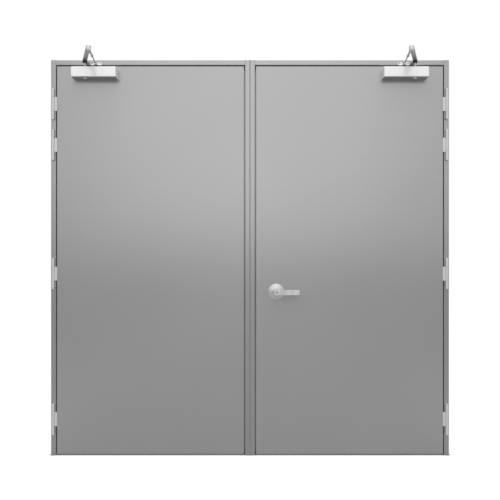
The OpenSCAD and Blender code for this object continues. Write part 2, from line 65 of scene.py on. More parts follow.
# Light
KEY_POWER = 58.0
KEY_SIZE = 4.0
KEY_PLACE = (0.0, -2.2, 5.2)
KEY_AIM = (0.0, -0.07, 1.4)
FRONT_POWER = 106.0
FRONT_SIZE = 0.8
FRONT_PLACE = (0.0, -7.0, 4.9)
FRONT_AIM = (0.0, -0.07, 1.1)
FILL_POWER = 62.0
FILL_SIZE = 2.0
FILL_PLACE = (0.0, -6.5, 1.5)
FILL_AIM = (0.0, -0.07, 1.5)
BACK_POWER = 220.0
BACK_SIZE = 2.5
BACK_PLACE = (0.0, 6.5, 3.6)
BACK_AIM = (0.0, 0.07, 1.1)
SKY_ACROSS = ((0.0, 1.0), (0.16, 1.0), (0.25, 0.86), (0.31, 0.64), (0.7, 0.40), (1.0, 0.30))
SKY_UP = ((0.0, 0.80), (0.10, 1.0), (1.0, 1.0))
SKY_MATT = 0.62
FLOOR_FAR = 0.275
FLOOR_NEAR = 0.40
FLOOR_NEAR_REACH = 3.0
CONTACT_REACH = 0.011
CONTACT_DEPTH = 6.0
FLOOR_SHADOW = 0.12
FLOOR_HALF = 150.0


def grey(value, warmth=0.0):
    """A neutral colour, a little warmer or cooler."""
    return (value * (1 + warmth), value, value * (1 - warmth), 1.0)


class Shader:
    """A small helper that adds and links shader nodes in one material."""

    def __init__(self, name):
        self.material = bpy.data.materials.new(name)
        self.material.use_nodes = True
        self.tree = self.material.node_tree
        self.bsdf = self.tree.nodes["Principled BSDF"]

    def add(self, kind, **settings):
        node = self.tree.nodes.new(kind)
        for key, value in settings.items():
            if key in node.inputs:
                node.inputs[key].default_value = value
            else:
                setattr(node, key, value)
        return node

    def link(self, source, target):
        self.tree.links.new(source, target)

    def set(self, **values):
        """Puts constants on the shader's own sockets."""
        for key, value in values.items():
            self.bsdf.inputs[key.replace("_", " ")].default_value = value


def place_coordinates(shader, scale):
    """Object coordinates, scaled in each direction."""
    coordinates = shader.add("ShaderNodeTexCoord")
    mapping = shader.add("ShaderNodeMapping")
    mapping.inputs["Scale"].default_value = scale
    shader.link(coordinates.outputs["Object"], mapping.inputs["Vector"])
    return mapping.outputs["Vector"]


def noise(shader, vector, scale, detail=3.0, roughness=0.5):
    texture = shader.add("ShaderNodeTexNoise", Scale=scale, Detail=detail, Roughness=roughness)
    shader.link(vector, texture.inputs["Vector"])
    return texture.outputs["Fac"]


def ranged(shader, value, low, high, from_low=0.3, from_high=0.7):
    node = shader.add("ShaderNodeMapRange")
    node.inputs["From Min"].default_value = from_low
    node.inputs["From Max"].default_value = from_high
    node.inputs["To Min"].default_value = low
    node.inputs["To Max"].default_value = high
    shader.link(value, node.inputs["Value"])
    return node.outputs["Result"]


def blend_colours(shader, factor, colour_a, colour_b):
    """Mixes two colours. Each is a constant or the output of another node."""
    node = shader.add("ShaderNodeMix", data_type="RGBA")
    shader.link(factor, node.inputs[0])
    for socket, colour in ((node.inputs[6], colour_a), (node.inputs[7], colour_b)):
        if isinstance(colour, bpy.types.NodeSocket):
            shader.link(colour, socket)
        else:
            socket.default_value = colour
    return node.outputs[2]


def edge_mask(shader, radius):
    """Near 1 where a sharp edge is close, from the difference of a rounded and the real normal."""
    rounded = shader.add("ShaderNodeBevel", samples=6)
    rounded.inputs["Radius"].default_value = radius
    geometry = shader.add("ShaderNodeNewGeometry")
    dot = shader.add("ShaderNodeVectorMath", operation="DOT_PRODUCT")
    shader.link(rounded.outputs["Normal"], dot.inputs[0])
    shader.link(geometry.outputs["Normal"], dot.inputs[1])
    return ranged(shader, dot.outputs["Value"], 1.0, 0.0, 0.8, 0.99)


def finish_surface(shader, colour, spread, rough, grain, grain_scale, bump, edge=None, edge_radius=0.0012,
                   stretch=(1.0, 1.0, 1.0)):
    """Colour variation, roughness variation, fine grain and worn edges, on object coordinates.

    colour and spread: the middle tone and how far it strays. rough: lowest and highest roughness.
    grain and grain_scale: share and size of the fine pattern. bump: its height in metres.
    """
    vector = place_coordinates(shader, stretch)
    broad = noise(shader, vector, 2.3, 2.0)
    fine = noise(shader, vector, grain_scale, 4.0, 0.6)
    dark = tuple(c * (1 - spread) for c in colour[:3]) + (1.0,)
    light = tuple(min(1.0, c * (1 + spread)) for c in colour[:3]) + (1.0,)
    tone = blend_colours(shader, ranged(shader, broad, 0.0, 1.0), dark, light)
    speck = blend_colours(shader, ranged(shader, fine, 0.0, grain), tone, dark)
    if edge is not None:
        worn = shader.add("ShaderNodeMath", operation="MULTIPLY")
        shader.link(edge_mask(shader, edge_radius), worn.inputs[0])
        shader.link(ranged(shader, noise(shader, vector, 55.0, 3.0), 0.1, 0.75), worn.inputs[1])
        speck = blend_colours(shader, worn.outputs[0], speck, edge)
    shader.link(speck, shader.bsdf.inputs["Base Color"])
    shader.link(ranged(shader, fine, rough[0], rough[1]), shader.bsdf.inputs["Roughness"])
    relief = shader.add("ShaderNodeBump", Strength=1.0, Distance=bump)
    shader.link(fine, relief.inputs["Height"])
    rounded = shader.add("ShaderNodeBevel", samples=6)
    rounded.inputs["Radius"].default_value = edge_radius
    shader.link(rounded.outputs["Normal"], relief.inputs["Normal"])
    shader.link(relief.outputs["Normal"], shader.bsdf.inputs["Normal"])
    return shader.material


def leaf_paint():
    """Satin coating on the leaves: flat grey with a faint orange peel."""
    shader = Shader("leaf_coat")
    shader.set(Metallic=0.55, Specular_IOR_Level=0.4)
    return finish_surface(shader, grey(0.50), 0.012, (0.20, 0.25), 0.25, 520.0, 0.00002, grey(0.62))


def frame_paint():
    """The same coating on the pressed frame, a little duller."""
    shader = Shader("frame_coat")
    shader.set(Metallic=0.70, Specular_IOR_Level=0.4)
    return finish_surface(shader, grey(0.515), 0.012, (0.21, 0.26), 0.25, 520.0, 0.00002, grey(0.58))


def hinge_zinc():
    """Satin zinc plate on the hinges."""
    shader = Shader("hinge_zinc")
    shader.set(Metallic=0.3, Specular_IOR_Level=0.5)
    return finish_surface(shader, grey(0.76, 0.01), 0.03, (0.28, 0.40), 0.3, 600.0, 0.00002, grey(0.86), 0.0006)


def overlaid(shader, factor, colour):
    """Lays another colour over the finished one, by a factor."""
    coat = shader.bsdf.inputs["Base Color"].links[0].from_socket
    shader.link(blend_colours(shader, factor, coat, colour), shader.bsdf.inputs["Base Color"])


def closer_coat():
    """Bright silver coat on the closers' bodies, with painted shade: faces that look downwards are darkened to a grey.
    """
    shader = Shader("closer_coat")
    shader.set(Metallic=0.12, Specular_IOR_Level=0.5)
    material = finish_surface(shader, grey(0.97), 0.01, (0.30, 0.38), 0.15, 600.0, 0.00002, grey(0.97), 0.0010)
    coordinates = shader.add("ShaderNodeTexCoord")
    split = shader.add("ShaderNodeSeparateXYZ")
    shader.link(coordinates.outputs["Normal"], split.inputs[0])
    # Painted shade: faces turned down are laid over with dark grey, as if in shadow under the body.
    overlaid(shader, ranged(shader, split.outputs["Z"], 1.0, 0.0, -0.95, -0.75), grey(0.42))
    return material


def elbow_painted_highlight(shader):
    """Paints a highlight: near white on the elbow's knuckle within its own radius, on both sides."""
    low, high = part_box("left_main_arm")
    coordinates = shader.add("ShaderNodeTexCoord")
    sideless = shader.add("ShaderNodeVectorMath", operation="ABSOLUTE")
    shader.link(coordinates.outputs["Object"], sideless.inputs[0])
    from_axis = shader.add("ShaderNodeVectorMath", operation="SUBTRACT")
    shader.link(sideless.outputs[0], from_axis.inputs[0])
    from_axis.inputs[1].default_value = (ELBOW_RADIUS - high.x, -low.y - ELBOW_RADIUS, 0.0)
    flat = shader.add("ShaderNodeVectorMath", operation="MULTIPLY")
    shader.link(from_axis.outputs[0], flat.inputs[0])
    flat.inputs[1].default_value = (1.0, 1.0, 0.0)
    away = shader.add("ShaderNodeVectorMath", operation="LENGTH")
    shader.link(flat.outputs[0], away.inputs[0])
    near = ranged(shader, away.outputs["Value"], 1.0, 0.0, ELBOW_RADIUS + 0.2 * MM, ELBOW_RADIUS + 0.6 * MM)
    overlaid(shader, near, grey(0.97))


def arm_coat():
    """Silver coat on the arms and shoes."""
    shader = Shader("arm_coat")
    shader.set(Metallic=0.6, Specular_IOR_Level=0.5)
    material = finish_surface(shader, grey(0.52), 0.02, (0.28, 0.38), 0.2, 380.0, 0.00003, grey(0.85), 0.0008)
    # Painted highlight on the elbow's knuckle.
    elbow_painted_highlight(shader)
    return material


def main_arm_coat():
    """The same silver coat, with painted shade: the hub under the arm is made near black."""
    shader = Shader("main_arm_coat")
    shader.set(Metallic=0.6, Specular_IOR_Level=0.5)
    material = finish_surface(shader, grey(0.52), 0.02, (0.28, 0.38), 0.2, 380.0, 0.00003, grey(0.85), 0.0008)
    split = shader.add("ShaderNodeSeparateXYZ")
    shader.link(place_coordinates(shader, (1.0, 1.0, 1.0)), split.inputs[0])
    bar_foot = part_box("left_forearm")[1].z
    # Painted shade: below the bar's foot the hub is laid over with near black, as if in the arm's shadow.
    overlaid(shader, ranged(shader, split.outputs["Z"], 1.0, 0.0, bar_foot - 0.3 * MM, bar_foot), grey(0.03))
    # Painted highlight on the elbow's knuckle.
    elbow_painted_highlight(shader)
    return material


def spindle_steel():
    """Bright ground steel of the spindle."""
    shader = Shader("ground_steel")
    shader.set(Metallic=0.7, Specular_IOR_Level=0.5)
    return finish_surface(shader, grey(0.62), 0.06, (0.25, 0.40), 0.3, 500.0, 0.00002, grey(0.7), 0.0005)


def lever_satin():
    """Satin stainless steel with a fine brush along the bar."""
    shader = Shader("satin_stainless")
    shader.set(Metallic=0.5, Specular_IOR_Level=0.5, Anisotropic=0.3)
    return finish_surface(shader, grey(0.85, 0.008), 0.02, (0.22, 0.32), 0.35, 900.0, 0.00001, grey(0.85), 0.0008,
                          (0.08, 1.0, 1.0))


def rose_satin():
    """Satin stainless steel that was brushed in circles round the lever's axis."""
    shader = Shader("circle_brushed")
    shader.set(Metallic=0.75, Specular_IOR_Level=0.5, Anisotropic=0.7)
    material = finish_surface(shader, grey(0.82, 0.006), 0.012, (0.25, 0.30), 0.15, 700.0, 0.000006, grey(0.82), 0.0008)
    coordinates = shader.add("ShaderNodeTexCoord")
    from_axis = shader.add("ShaderNodeVectorMath", operation="SUBTRACT")
    shader.link(coordinates.outputs["Object"], from_axis.inputs[0])
    from_axis.inputs[1].default_value = middle("outside_rose")
    around = shader.add("ShaderNodeVectorMath", operation="CROSS_PRODUCT")
    shader.link(from_axis.outputs[0], around.inputs[0])
    around.inputs[1].default_value = (0.0, 1.0, 0.0)
    turned_too = shader.add("ShaderNodeVectorTransform", vector_type="VECTOR", convert_from="OBJECT", convert_to="WORLD")
    shader.link(from_axis.outputs[0], turned_too.inputs[0])
    shader.link(turned_too.outputs[0], shader.bsdf.inputs["Tangent"])
    return material


def plate_steel():
    """Brushed stainless steel of the latch and strike plates."""
    shader = Shader("brushed_plate")
    shader.set(Metallic=1.0, Specular_IOR_Level=0.5)
    return finish_surface(shader, grey(0.58), 0.03, (0.25, 0.38), 0.4, 700.0, 0.00002, grey(0.8), 0.0005,
                          (1.0, 1.0, 0.05))


def screw_zinc():
    """Bright zinc on small screws."""
    shader = Shader("screw_zinc")
    shader.set(Metallic=0.95, Specular_IOR_Level=0.5)
    return finish_surface(shader, grey(0.55), 0.05, (0.25, 0.40), 0.5, 900.0, 0.00002, grey(0.8), 0.0003)


def seal_rubber():
    """Matt black rubber of the bottom seals."""
    shader = Shader("seal_rubber")
    shader.set(Metallic=0.0, Specular_IOR_Level=0.3)
    return finish_surface(shader, grey(0.018), 0.2, (0.7, 0.85), 0.5, 600.0, 0.00005)


def silencer_rubber():
    """Grey rubber of the silencers on the stops."""
    shader = Shader("silencer_rubber")
    shader.set(Metallic=0.0, Specular_IOR_Level=0.3)
    return finish_surface(shader, grey(0.16), 0.1, (0.6, 0.75), 0.4, 700.0, 0.00003)


def keyway_black():
    """Near black, a painted shade meant for the inside of the keyway and of drive recesses; no piece here is given it.
    """
    shader = Shader("dark_recess")
    shader.set(Metallic=0.0, Specular_IOR_Level=0.2)
    return finish_surface(shader, grey(0.01), 0.2, (0.6, 0.8), 0.3, 900.0, 0.00001)


def core_board():
    """Pale mineral board of the leaf's core."""
    shader = Shader("core_board")
    shader.set(Metallic=0.0, Specular_IOR_Level=0.2)
    return finish_surface(shader, (0.50, 0.45, 0.36, 1.0), 0.06, (0.8, 0.95), 0.4, 180.0, 0.0002)


def foot_zinc():
    """Galvanised plate in the mullion's foot."""
    shader = Shader("foot_zinc")
    shader.set(Metallic=0.9, Specular_IOR_Level=0.5)
    return finish_surface(shader, grey(0.42), 0.12, (0.35, 0.55), 0.6, 60.0, 0.00005, grey(0.6), 0.0006)


def middle(node):
    """The centre of a node's box."""
    low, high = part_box(node)
    return (Vector(low) + Vector(high)) / 2


finishes = {
    "frame_paint": frame_paint(), "leaf_paint": leaf_paint(), "core_board": core_board(),
    "channel_steel": frame_paint(), "seal_rubber": seal_rubber(), "anchor_steel": foot_zinc(),
    "strike_steel": plate_steel(), "hinge_steel": hinge_zinc(), "closer_silver": closer_coat(),
    "spindle_steel": spindle_steel(), "arm_steel": arm_coat(), "main_arm": main_arm_coat(),
    "lock_satin": lever_satin(), "rose_satin": rose_satin(), "key_steel": plate_steel(),
}
SCREW = screw_zinc()
RECESS = keyway_black()
SILENCER = silencer_rubber()


def dress_cad_nodes():
    """Gives every carried-over piece the finish of its material slot."""
    slots = {s["node"]: s["material_slot"] for s in frame["record"]["subparts"]}
    for name, piece in nodes.items():
        piece.data.materials.clear()
        piece.data.materials.append(finishes[slots[name]])


def set_camera():
    data = bpy.data.cameras.new("camera")
    data.lens = LENS_MM
    data.sensor_width = SENSOR_MM
    camera = bpy.data.objects.new("camera", data)
    scene.collection.objects.link(camera)
    face_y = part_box("left_jamb")[0].y
    camera.location = (0.0, face_y - EYE_DISTANCE, EYE_HEIGHT)
    camera.rotation_euler = (math.radians(90), 0.0, 0.0)
    scene.camera = camera


def ramp(tree, value, stops):
    """A value that follows straight lines between (from, to) pairs."""
    node = tree.nodes.new("ShaderNodeFloatCurve")
    low, high = stops[0][0], stops[-1][0]
    curve = node.mapping.curves[0]
    node.mapping.use_clip = True
    while len(curve.points) < len(stops):
        curve.points.new(0.5, 0.5)
    for point, (x, y) in zip(curve.points, stops):
        point.location = ((x - low) / (high - low), y)
        point.handle_type = "VECTOR"
    node.mapping.update()
    scaled = tree.nodes.new("ShaderNodeMapRange")
    scaled.inputs["From Min"].default_value = low
    scaled.inputs["From Max"].default_value = high
    tree.links.new(value, scaled.inputs["Value"])
    tree.links.new(scaled.outputs["Result"], node.inputs["Value"])
    return node.outputs["Value"]


def set_world():
    """White to the eye. Mirrors see it white in front and dimmer at the sides, and matt surfaces a plain level."""
    world = bpy.data.worlds.new("studio")
    scene.world = world
    world.use_nodes = True
    tree = world.node_tree
    background = tree.nodes["Background"]
    coordinates = tree.nodes.new("ShaderNodeTexCoord")
    split = tree.nodes.new("ShaderNodeSeparateXYZ")
    tree.links.new(coordinates.outputs["Generated"], split.inputs["Vector"])
    across = tree.nodes.new("ShaderNodeMath")
    across.operation = "ABSOLUTE"
    tree.links.new(split.outputs["X"], across.inputs[0])
    level = tree.nodes.new("ShaderNodeMath")
    level.operation = "MULTIPLY"
    tree.links.new(ramp(tree, across.outputs["Value"], SKY_ACROSS), level.inputs[0])
    tree.links.new(ramp(tree, split.outputs["Z"], SKY_UP), level.inputs[1])
    mirrored = level.outputs["Value"]
    path = tree.nodes.new("ShaderNodeLightPath")
    matt = tree.nodes.new("ShaderNodeMix")
    tree.links.new(path.outputs["Is Diffuse Ray"], matt.inputs[0])
    tree.links.new(mirrored, matt.inputs[2])
    matt.inputs[3].default_value = SKY_MATT
    seen = tree.nodes.new("ShaderNodeMix")
    tree.links.new(path.outputs["Is Camera Ray"], seen.inputs[0])
    tree.links.new(matt.outputs[0], seen.inputs[2])
    seen.inputs[3].default_value = 1.0
    tree.links.new(seen.outputs[0], background.inputs["Strength"])
    background.inputs["Color"].default_value = (1.0, 1.0, 1.0, 1.0)


def set_floor():
    """A pale floor. The eye sees it white but for a faint shadow of the door and a painted contact shade at its foot.
    """
    mesh = bpy.data.meshes.new("floor")
    half = FLOOR_HALF
    mesh.from_pydata([(-half, -half, 0), (half, -half, 0), (half, half, 0), (-half, half, 0)], [], [(0, 1, 2, 3)])
    floor = bpy.data.objects.new("floor", mesh)
    scene.collection.objects.link(floor)
    material = bpy.data.materials.new("pale_floor")
    material.use_nodes = True
    tree = material.node_tree
    output = tree.nodes["Material Output"]
    tree.nodes.remove(tree.nodes["Principled BSDF"])
    matt = tree.nodes.new("ShaderNodeBsdfDiffuse")
    coordinates = tree.nodes.new("ShaderNodeTexCoord")
    split = tree.nodes.new("ShaderNodeSeparateXYZ")
    tree.links.new(coordinates.outputs["Object"], split.inputs["Vector"])
    # Painted light: the matt tone that metals mirror is lighter towards the door, like a pool of light there.
    tone = tree.nodes.new("ShaderNodeMapRange")
    tone.inputs["From Min"].default_value = -FLOOR_NEAR_REACH
    tone.inputs["From Max"].default_value = 0.0
    tone.inputs["To Min"].default_value = FLOOR_FAR
    tone.inputs["To Max"].default_value = FLOOR_NEAR
    tree.links.new(split.outputs["Y"], tone.inputs["Value"])
    tree.links.new(tone.outputs["Result"], matt.inputs["Color"])
    lit = tree.nodes.new("ShaderNodeBsdfDiffuse")
    lit.inputs["Color"].default_value = grey(1.0)
    white = tree.nodes.new("ShaderNodeEmission")
    white.inputs["Strength"].default_value = (1 - FLOOR_SHADOW * SKY_MATT) / (1 - FLOOR_SHADOW)
    shown = tree.nodes.new("ShaderNodeMixShader")
    shown.inputs[0].default_value = FLOOR_SHADOW
    tree.links.new(white.outputs[0], shown.inputs[1])
    tree.links.new(lit.outputs[0], shown.inputs[2])
    # Painted shade: the white that the eye sees is darkened by occlusion near the door's foot.
    contact = tree.nodes.new("ShaderNodeAmbientOcclusion")
    contact.samples = 16
    contact.inputs["Distance"].default_value = CONTACT_REACH
    deepened = tree.nodes.new("ShaderNodeMath")
    deepened.operation = "POWER"
    tree.links.new(contact.outputs["AO"], deepened.inputs[0])
    deepened.inputs[1].default_value = CONTACT_DEPTH
    tree.links.new(deepened.outputs[0], white.inputs["Color"])
    path = tree.nodes.new("ShaderNodeLightPath")
    switch = tree.nodes.new("ShaderNodeMixShader")
    tree.links.new(path.outputs["Is Camera Ray"], switch.inputs[0])
    tree.links.new(matt.outputs[0], switch.inputs[1])
    tree.links.new(shown.outputs[0], switch.inputs[2])
    tree.links.new(switch.outputs[0], output.inputs["Surface"])
    mesh.materials.append(material)


def set_lamp(name, place, aim, size, power, mirrored=True):
    """A square lamp. Where it isn't mirrored, metals show no image of it."""
    data = bpy.data.lights.new(name, "AREA")
    data.energy = power
    data.size = size
    lamp = bpy.data.objects.new(name, data)
    lamp.visible_glossy = mirrored
    scene.collection.objects.link(lamp)
    lamp.location = place
    lamp.rotation_euler = (Vector(aim) - Vector(place)).to_track_quat("-Z", "Y").to_euler()


BODY_OF = {node: body for body, names in frame["record"]["behaviour"]["bodies"].items() for node in names}
SLOT_OF = {part["node"]: part["material_slot"] for part in frame["record"]["subparts"]}


def add_piece(name, mesh, body, materials):
    """Turns a bmesh or mesh into a shown piece that rides on a body."""
    if isinstance(mesh, bmesh.types.BMesh):
        data = bpy.data.meshes.new(name)
        mesh.to_mesh(data)
        mesh.free()
    else:
        data = mesh
        data.name = name
    data.materials.clear()
    for material in materials:
        data.materials.append(material)
    piece = bpy.data.objects.new(name, data)
    scene.collection.objects.link(piece)
    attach(piece, body)
    return piece


def finished(mesh, modifiers):
    """Runs modifiers on a smooth bmesh and gives the plain mesh with the normals that they leave."""
    data = bpy.data.meshes.new("work")
    mesh.to_mesh(data)
    mesh.free()
    data.shade_smooth()
    work = bpy.data.objects.new("work", data)
    scene.collection.objects.link(work)
    for kind, settings in modifiers:
        modifier = work.modifiers.new(kind.lower(), kind)
        for key, value in settings.items():
            setattr(modifier, key, value)
    evaluated = work.evaluated_get(bpy.context.evaluated_depsgraph_get())
    result = bpy.data.meshes.new_from_object(evaluated)
    bpy.data.objects.remove(work)
    bpy.data.meshes.remove(data)
    return result


def whole_faces(node):
    """A copy of a CAD node's mesh with its doubles merged and its flat faces made whole."""
    mesh = bmesh.new()
    mesh.from_mesh(nodes[node].data)
    bmesh.ops.remove_doubles(mesh, verts=mesh.verts, dist=2e-6)
    bmesh.ops.dissolve_limit(mesh, angle_limit=math.radians(0.6), verts=mesh.verts, edges=mesh.edges)
    return mesh


def stand_in(node, mesh, finish=None):
    """Shows a mesh in the place of a rigid CAD node."""
    slot_name = SLOT_OF[node]
    piece = add_piece(node + "_eased", mesh, BODY_OF[node], [finish or finishes[slot_name]])
    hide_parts(node)
    return piece


def eased(node, width, segments=3, angle=28.0, cutters=(), finish=None):
    """Stands for a rigid CAD node, with its edges rounded as a casting's or a pressing's are."""
    modifiers = [("BOOLEAN", {"object": cutter, "operation": "DIFFERENCE", "solver": "EXACT"}) for cutter in cutters]
    modifiers.append(("BEVEL", {"width": width, "segments": segments, "limit_method": "ANGLE",
                                "angle_limit": math.radians(angle), "use_clamp_overlap": True}))
    modifiers.append(("WEIGHTED_NORMAL", {"keep_sharp": True}))
    return stand_in(node, finished(whole_faces(node), modifiers), finish)


def turned(outline, place, axis, steps=40, ring=False):
    """A closed turned form. outline holds (radius, height) pairs from its foot to its top along the axis.

    ring: the outline runs round a hole and closes on itself.
    """
    mesh = bmesh.new()
    turn = Vector(axis).to_track_quat("Z", "Y").to_matrix()
    rings = []
    for radius, height in outline:
        count = 1 if radius == 0 else steps
        circle = []
        for i in range(count):
            angle = 2 * math.pi * i / count
            spot = Vector((radius * math.cos(angle), radius * math.sin(angle), height))
            circle.append(mesh.verts.new(Vector(place) + turn @ spot))
        rings.append(circle)
    following = rings[1:] + rings[:1] if ring else rings[1:]
    for lower, upper in zip(rings, following):
        for i in range(steps):
            corners = [lower[i % len(lower)], lower[(i + 1) % len(lower)],
                       upper[(i + 1) % len(upper)], upper[i % len(upper)]]
            corners = [v for k, v in enumerate(corners) if v not in corners[:k]]
            mesh.faces.new(corners)
    for circle in (rings[0], rings[-1]):
        if len(circle) > 1 and not ring:
            mesh.faces.new(circle)
    bmesh.ops.recalc_face_normals(mesh, faces=mesh.faces)
    return mesh


def joined(meshes):
    """Several bmeshes as one."""
    whole = bmesh.new()
    for part in meshes:
        data = bpy.data.meshes.new("part")
        part.to_mesh(data)
        part.free()
        whole.from_mesh(data)
        bpy.data.meshes.remove(data)
    return whole


def screw_tree():
    """Geometry Nodes: a socket-headed screw on every point, facing the way that the point says."""
    tree = bpy.data.node_groups.new("screw_heads", "GeometryNodeTree")
    sizes = (("Head diameter", 8 * MM), ("Head height", 1.5 * MM), ("Drive width", 4 * MM), ("Drive depth", 1 * MM))
    tree.interface.new_socket("Points", in_out="INPUT", socket_type="NodeSocketGeometry")
    for name, value in sizes:
        tree.interface.new_socket(name, in_out="INPUT", socket_type="NodeSocketFloat").default_value = value
    tree.interface.new_socket("Finish", in_out="INPUT", socket_type="NodeSocketMaterial")
    tree.interface.new_socket("Screws", in_out="OUTPUT", socket_type="NodeSocketGeometry")
    new, link = tree.nodes.new, tree.links.new
    given = new("NodeGroupInput")

    def times(source, factor):
        node = new("ShaderNodeMath")
        node.operation = "MULTIPLY"
        link(source, node.inputs[0])
        node.inputs[1].default_value = factor
        return node.outputs[0]

    head = new("GeometryNodeMeshCone")
    head.inputs["Vertices"].default_value = 28
    link(times(given.outputs["Head diameter"], 0.5), head.inputs["Radius Bottom"])
    link(times(given.outputs["Head diameter"], 0.41), head.inputs["Radius Top"])
    link(given.outputs["Head height"], head.inputs["Depth"])
    drive = new("GeometryNodeMeshCylinder")
    drive.inputs["Vertices"].default_value = 6
    link(times(given.outputs["Drive width"], 1 / math.sqrt(3)), drive.inputs["Radius"])
    link(times(given.outputs["Drive depth"], 2.0), drive.inputs["Depth"])
    lift = new("ShaderNodeCombineXYZ")
    link(given.outputs["Head height"], lift.inputs["Z"])
    raised = new("GeometryNodeTransform")
    link(drive.outputs["Mesh"], raised.inputs["Geometry"])
    link(lift.outputs[0], raised.inputs["Translation"])
    socket_cut = new("GeometryNodeMeshBoolean")
    socket_cut.operation = "DIFFERENCE"
    link(head.outputs["Mesh"], socket_cut.inputs["Mesh 1"])
    link(raised.outputs["Geometry"], socket_cut.inputs["Mesh 2"])
    facing = new("GeometryNodeInputNamedAttribute")
    facing.data_type = "FLOAT_VECTOR"
    facing.inputs["Name"].default_value = "facing"
    aligned = new("FunctionNodeAlignRotationToVector")
    aligned.axis = "Z"
    link(facing.outputs["Attribute"], aligned.inputs["Vector"])
    turn = new("FunctionNodeRandomValue")
    turn.data_type = "FLOAT"
    turn.inputs["Max"].default_value = math.pi
    turn.inputs["Seed"].default_value = 7
    spin = new("ShaderNodeCombineXYZ")
    link(turn.outputs["Value"], spin.inputs["Z"])
    spun = new("FunctionNodeEulerToRotation")
    link(spin.outputs[0], spun.inputs["Euler"])
    both = new("FunctionNodeRotateRotation")
    both.rotation_space = "LOCAL"
    link(aligned.outputs["Rotation"], both.inputs["Rotation"])
    link(spun.outputs["Rotation"], both.inputs["Rotate By"])
    spread = new("GeometryNodeInstanceOnPoints")
    link(given.outputs["Points"], spread.inputs["Points"])
    link(socket_cut.outputs["Mesh"], spread.inputs["Instance"])
    link(both.outputs["Rotation"], spread.inputs["Rotation"])
    real = new("GeometryNodeRealizeInstances")
    link(spread.outputs["Instances"], real.inputs["Geometry"])
    coated = new("GeometryNodeSetMaterial")
    link(real.outputs["Geometry"], coated.inputs["Geometry"])
    link(given.outputs["Finish"], coated.inputs["Material"])
    result = new("NodeGroupOutput")
    link(coated.outputs["Geometry"], result.inputs["Screws"])
    return tree


SCREW_TREE = screw_tree()


def screws(name, body, spots, diameter, height, drive, finish=None):
    """One mesh of screw heads. spots holds (place, facing) pairs, and each head stands on its place."""
    data = bpy.data.meshes.new("spots")
    data.from_pydata([tuple(place) for place, _ in spots], [], [])
    facing = data.attributes.new("facing", "FLOAT_VECTOR", "POINT")
    for i, (_, way) in enumerate(spots):
        facing.data[i].vector = Vector(way)
    work = bpy.data.objects.new("spots", data)
    modifier = work.modifiers.new("screws", "NODES")
    modifier.node_group = SCREW_TREE
    wanted = {"Head diameter": diameter, "Head height": height, "Drive width": drive, "Drive depth": height * 0.7,
              "Finish": finish or SCREW}
    for item in SCREW_TREE.interface.items_tree:
        if item.name in wanted:
            modifier[item.identifier] = wanted[item.name]
    scene.collection.objects.link(work)
    mesh = bpy.data.meshes.new_from_object(work.evaluated_get(bpy.context.evaluated_depsgraph_get()))
    bpy.data.objects.remove(work)
    for attribute in ("facing",):
        if attribute in mesh.attributes:
            mesh.attributes.remove(mesh.attributes[attribute])
    return add_piece(name, mesh, body, [finish or SCREW])


def dress_hinges():
    """Rounded knuckles and flaps, screws in each flap's leg and weld beads beside each saddle."""
    face_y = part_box("left_jamb")[0].y
    for side, sign in SIDES:
        leg_screws = []
        beads = []
        for i in range(1, 5):
            knuckles, flap = f"{side}_hinge_knuckles_{i}", f"{side}_hinge_flap_{i}"
            eased(knuckles, 0.7 * MM, 2)
            eased(flap, 0.6 * MM, 2)
            low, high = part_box(flap)
            edge_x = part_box(f"{side}_push_skin")[1 if sign > 0 else 0].x
            mid_z = (low.z + high.z) / 2
            for dz, back in ((-28, 9), (-10, 19), (10, 9), (28, 19)):
                leg_screws.append(((edge_x, high.y - back * MM, mid_z + dz * MM), (sign, 0, 0)))
            k_low, k_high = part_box(knuckles)
            axis_x = middle(knuckles).x
            for z_low, z_high in ((k_low.z + 3.4 * MM, low.z - 0.9 * MM), (high.z + 0.9 * MM, k_high.z - 3.4 * MM)):
                for off in (-5.2 * MM, 5.2 * MM):
                    beads.append(weld_bead((axis_x + off, face_y - 0.2 * MM, z_low),
                                           (axis_x + off, face_y - 0.2 * MM, z_high), 1.3 * MM))
        screws(f"{side}_hinge_screws", f"{side}_leaf", leg_screws, 8.5 * MM, 0.5 * MM, 4 * MM)
        bead_mesh = joined(beads)
        piece = add_piece(f"{side}_hinge_weld_beads", bead_mesh, "frame", [finishes["frame_paint"]])
        piece.data.shade_smooth()


def weld_bead(start, end, radius, sides=8, ripple=2.2 * MM):
    """A rippled bead of weld between two points, half sunk into the sheet."""
    start, end = Vector(start), Vector(end)
    length = (end - start).length
    count = max(6, round(length / ripple) * 3)
    along = (end - start).normalized()
    across = along.orthogonal().normalized()
    other = along.cross(across)
    mesh = bmesh.new()
    rings = []
    for k in range(count + 1):
        share = k / count
        swell = radius * (1 + 0.12 * math.cos(2 * math.pi * share * length / ripple))
        taper = min(1.0, 0.45 + 6 * min(share, 1 - share))
        centre = start + along * (length * share)
        rings.append([mesh.verts.new(centre + (across * math.cos(a) + other * math.sin(a)) * swell * taper)
                      for a in (2 * math.pi * j / sides for j in range(sides))])
    for lower, upper in zip(rings, rings[1:]):
        for j in range(sides):
            mesh.faces.new((lower[j], lower[(j + 1) % sides], upper[(j + 1) % sides], upper[j]))
    mesh.faces.new(rings[0])
    mesh.faces.new(rings[-1])
    bmesh.ops.recalc_face_normals(mesh, faces=mesh.faces)
    return mesh


